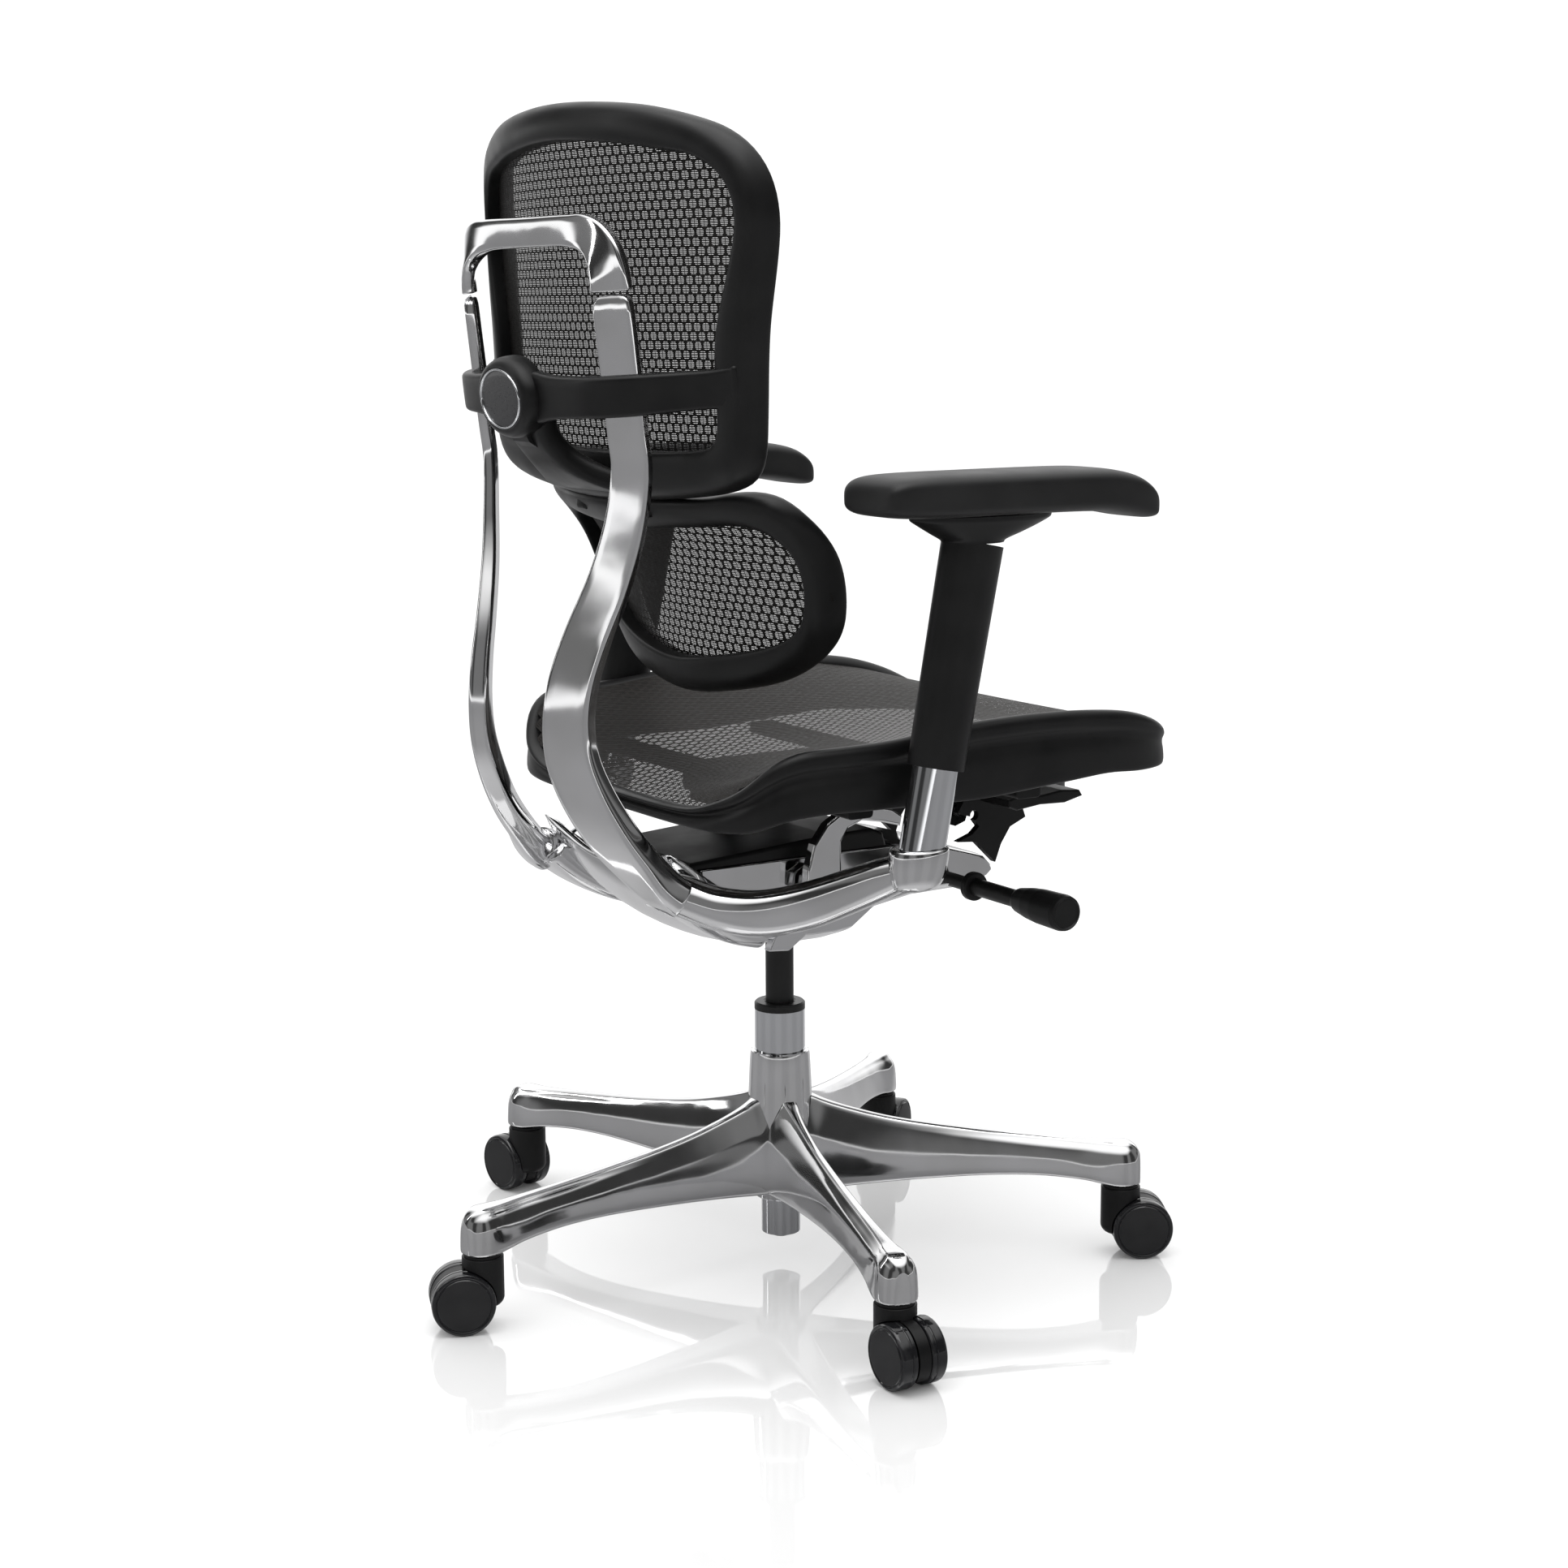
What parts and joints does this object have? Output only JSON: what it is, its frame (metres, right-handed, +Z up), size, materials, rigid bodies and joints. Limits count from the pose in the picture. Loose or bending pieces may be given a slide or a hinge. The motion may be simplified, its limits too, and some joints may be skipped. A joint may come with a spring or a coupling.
{
  "type": "swivel office chair",
  "caption": "Office chair with a mesh seat and back on a polished metal frame, reclining and sliding parts, height-adjustable arms and a rolling star base.",
  "frame": {"origin": "column axis at floor level", "axes": "+Z up along the column, the sitter faces -Y, the sitter's right hand is towards -X"},
  "size_m": [0.7513, 0.7363, 1.1211],
  "materials": {
    "polished_cast": "polished",
    "chrome_tube": "mirror",
    "black_plastic": "satin",
    "steel": "machined",
    "black_steel": "satin",
    "mesh_fabric": "woven",
    "badge_plastic": "gloss",
    "soft_pad": "matte",
    "wheel_plastic": "gloss"
  },
  "bodies": {
    "base": {"star_base": "polished_cast", "column_tube": "chrome_tube", "column_collar": "black_plastic", "piston_rod": "steel"},
    "lift": {"gas_cylinder": "black_steel"},
    "chassis": {"mechanism_housing": "polished_cast", "mechanism_cover": "black_plastic", "recline_pin": "steel", "seat_pin": "steel", "crank_collar": "black_plastic"},
    "crank": {"crank_rod": "black_plastic", "crank_grip": "black_plastic"},
    "recline_frame": {"back_yoke": "polished_cast", "upright_right": "polished_cast", "upright_left": "polished_cast", "top_bridge": "polished_cast", "sync_arm_right": "polished_cast", "sync_arm_left": "polished_cast", "arm_post_right": "chrome_tube", "arm_post_left": "chrome_tube"},
    "seat_tilt": {"seat_carrier": "black_steel"},
    "seat": {"seat_frame": "black_plastic", "seat_mesh": "mesh_fabric"},
    "paddle": {"paddle_lever": "black_plastic"},
    "back": {"back_frame": "black_plastic", "back_mesh": "mesh_fabric", "back_carrier": "black_plastic", "badge_cap": "badge_plastic"},
    "catch": {"height_catch": "black_plastic"},
    "lumbar": {"lumbar_frame": "black_plastic", "lumbar_mesh": "mesh_fabric"},
    "caster_1": {"caster_1_hood": "black_plastic", "caster_1_stem": "steel"},
    "wheel_1a": {"caster_1_wheel_a": "wheel_plastic"},
    "wheel_1b": {"caster_1_wheel_b": "wheel_plastic"},
    "caster_2": {"caster_2_hood": "black_plastic", "caster_2_stem": "steel"},
    "wheel_2a": {"caster_2_wheel_a": "wheel_plastic"},
    "wheel_2b": {"caster_2_wheel_b": "wheel_plastic"},
    "caster_3": {"caster_3_hood": "black_plastic", "caster_3_stem": "steel"},
    "wheel_3a": {"caster_3_wheel_a": "wheel_plastic"},
    "wheel_3b": {"caster_3_wheel_b": "wheel_plastic"},
    "caster_4": {"caster_4_hood": "black_plastic", "caster_4_stem": "steel"},
    "wheel_4a": {"caster_4_wheel_a": "wheel_plastic"},
    "wheel_4b": {"caster_4_wheel_b": "wheel_plastic"},
    "caster_5": {"caster_5_hood": "black_plastic", "caster_5_stem": "steel"},
    "wheel_5a": {"caster_5_wheel_a": "wheel_plastic"},
    "wheel_5b": {"caster_5_wheel_b": "wheel_plastic"},
    "arm_right": {"arm_sleeve_right": "black_plastic", "arm_bracket_right": "black_plastic"},
    "pad_right": {"arm_pad_right": "soft_pad"},
    "arm_left": {"arm_sleeve_left": "black_plastic", "arm_bracket_left": "black_plastic"},
    "pad_left": {"arm_pad_left": "soft_pad"}
  },
  "joints": [
    {"name": "caster_1_swivel", "type": "hinge", "parent": "base", "child": "caster_1", "pos_m": [-0.01988, 0.34062, 0.09], "axis": [0, 0, 1], "continuous": true},
    {"name": "wheel_1a_roll", "type": "hinge", "parent": "caster_1", "child": "wheel_1a", "pos_m": [-0.01287, 0.35935, 0.03], "axis": [-0.9367, 0.3502, 0], "continuous": true},
    {"name": "wheel_1b_roll", "type": "hinge", "parent": "caster_1", "child": "wheel_1b", "pos_m": [-0.01287, 0.35935, 0.03], "axis": [-0.9367, 0.3502, 0], "continuous": true},
    {"name": "caster_2_swivel", "type": "hinge", "parent": "base", "child": "caster_2", "pos_m": [-0.33009, 0.08635, 0.09], "axis": [0, 0, 1], "continuous": true},
    {"name": "wheel_2a_roll", "type": "hinge", "parent": "caster_2", "child": "wheel_2a", "pos_m": [-0.35009, 0.0867, 0.03], "axis": [-0.0175, -0.9998, 0], "continuous": true},
    {"name": "wheel_2b_roll", "type": "hinge", "parent": "caster_2", "child": "wheel_2b", "pos_m": [-0.35009, 0.0867, 0.03], "axis": [-0.0175, -0.9998, 0], "continuous": true},
    {"name": "caster_3_swivel", "type": "hinge", "parent": "base", "child": "caster_3", "pos_m": [-0.18413, -0.28725, 0.09], "axis": [0, 0, 1], "continuous": true},
    {"name": "wheel_3a_roll", "type": "hinge", "parent": "caster_3", "child": "wheel_3a", "pos_m": [-0.19383, -0.30474, 0.03], "axis": [0.8746, -0.4848, 0], "continuous": true},
    {"name": "wheel_3b_roll", "type": "hinge", "parent": "caster_3", "child": "wheel_3b", "pos_m": [-0.19383, -0.30474, 0.03], "axis": [0.8746, -0.4848, 0], "continuous": true},
    {"name": "caster_4_swivel", "type": "hinge", "parent": "base", "child": "caster_4", "pos_m": [0.21629, -0.26388, 0.09], "axis": [0, 0, 1], "continuous": true},
    {"name": "wheel_4a_roll", "type": "hinge", "parent": "caster_4", "child": "wheel_4a", "pos_m": [0.22833, -0.27986, 0.03], "axis": [0.7986, 0.6018, 0], "continuous": true},
    {"name": "wheel_4b_roll", "type": "hinge", "parent": "caster_4", "child": "wheel_4b", "pos_m": [0.22833, -0.27986, 0.03], "axis": [0.7986, 0.6018, 0], "continuous": true},
    {"name": "caster_5_swivel", "type": "hinge", "parent": "base", "child": "caster_5", "pos_m": [0.31781, 0.12416, 0.09], "axis": [0, 0, 1], "continuous": true},
    {"name": "wheel_5a_roll", "type": "hinge", "parent": "caster_5", "child": "wheel_5a", "pos_m": [0.3375, 0.12764, 0.03], "axis": [-0.1736, 0.9848, 0], "continuous": true},
    {"name": "wheel_5b_roll", "type": "hinge", "parent": "caster_5", "child": "wheel_5b", "pos_m": [0.3375, 0.12764, 0.03], "axis": [-0.1736, 0.9848, 0], "continuous": true},
    {"name": "lift_slide", "type": "slide", "parent": "base", "child": "lift", "axis": [0, 0, 1], "range_m": [-0.045, 0.055]},
    {"name": "seat_swivel", "type": "hinge", "parent": "lift", "child": "chassis", "pos_m": [0, 0, 0.34], "axis": [0, 0, 1], "continuous": true},
    {"name": "recline", "type": "hinge", "parent": "chassis", "child": "recline_frame", "pos_m": [0, 0.015, 0.4], "axis": [-1, 0, 0], "range_deg": [0, 15]},
    {"name": "seat_tilt_hinge", "type": "hinge", "parent": "chassis", "child": "seat_tilt", "pos_m": [0, -0.17, 0.446], "axis": [-1, 0, 0], "range_deg": [0, 5.25]},
    {"name": "seat_slide", "type": "slide", "parent": "seat_tilt", "child": "seat", "axis": [0, -1, 0], "range_m": [-0.02, 0.03]},
    {"name": "paddle_hinge", "type": "hinge", "parent": "seat_tilt", "child": "paddle", "pos_m": [-0.09, -0.232, 0.466], "axis": [1, 0, 0], "range_deg": [-10, 10], "stiffness_Nm_per_rad": 1.5},
    {"name": "crank_turn", "type": "hinge", "parent": "chassis", "child": "crank", "pos_m": [-0.15, -0.155, 0.38], "axis": [-1, 0, 0], "continuous": true},
    {"name": "arm_height_right", "type": "slide", "parent": "recline_frame", "child": "arm_right", "axis": [0, -0.1923, 0.9813], "range_m": [-0.06, 0.03]},
    {"name": "pad_swivel_right", "type": "hinge", "parent": "arm_right", "child": "pad_right", "pos_m": [-0.288, -0.032, 0.765], "axis": [0, 0, 1], "range_deg": [-20, 20]},
    {"name": "arm_height_left", "type": "slide", "parent": "recline_frame", "child": "arm_left", "axis": [0, -0.1923, 0.9813], "range_m": [-0.06, 0.03]},
    {"name": "pad_swivel_left", "type": "hinge", "parent": "arm_left", "child": "pad_left", "pos_m": [0.288, -0.032, 0.765], "axis": [0, 0, 1], "range_deg": [-20, 20]},
    {"name": "back_height", "type": "slide", "parent": "recline_frame", "child": "back", "axis": [0, 0.1107, 0.9939], "range_m": [-0.03, 0.03]},
    {"name": "catch_hinge", "type": "hinge", "parent": "back", "child": "catch", "pos_m": [0, 0.267, 0.83], "axis": [1, 0, 0], "range_deg": [-8, 8], "stiffness_Nm_per_rad": 0.3},
    {"name": "lumbar_pivot", "type": "hinge", "parent": "back", "child": "lumbar", "pos_m": [-0.06, 0.172, 0.78], "axis": [1, 0, 0], "range_deg": [-2, 7], "stiffness_Nm_per_rad": 60}
  ],
  "couplings": [
    {"joint": "seat_tilt_hinge", "follows": "recline", "ratio": 0.35}
  ]
}
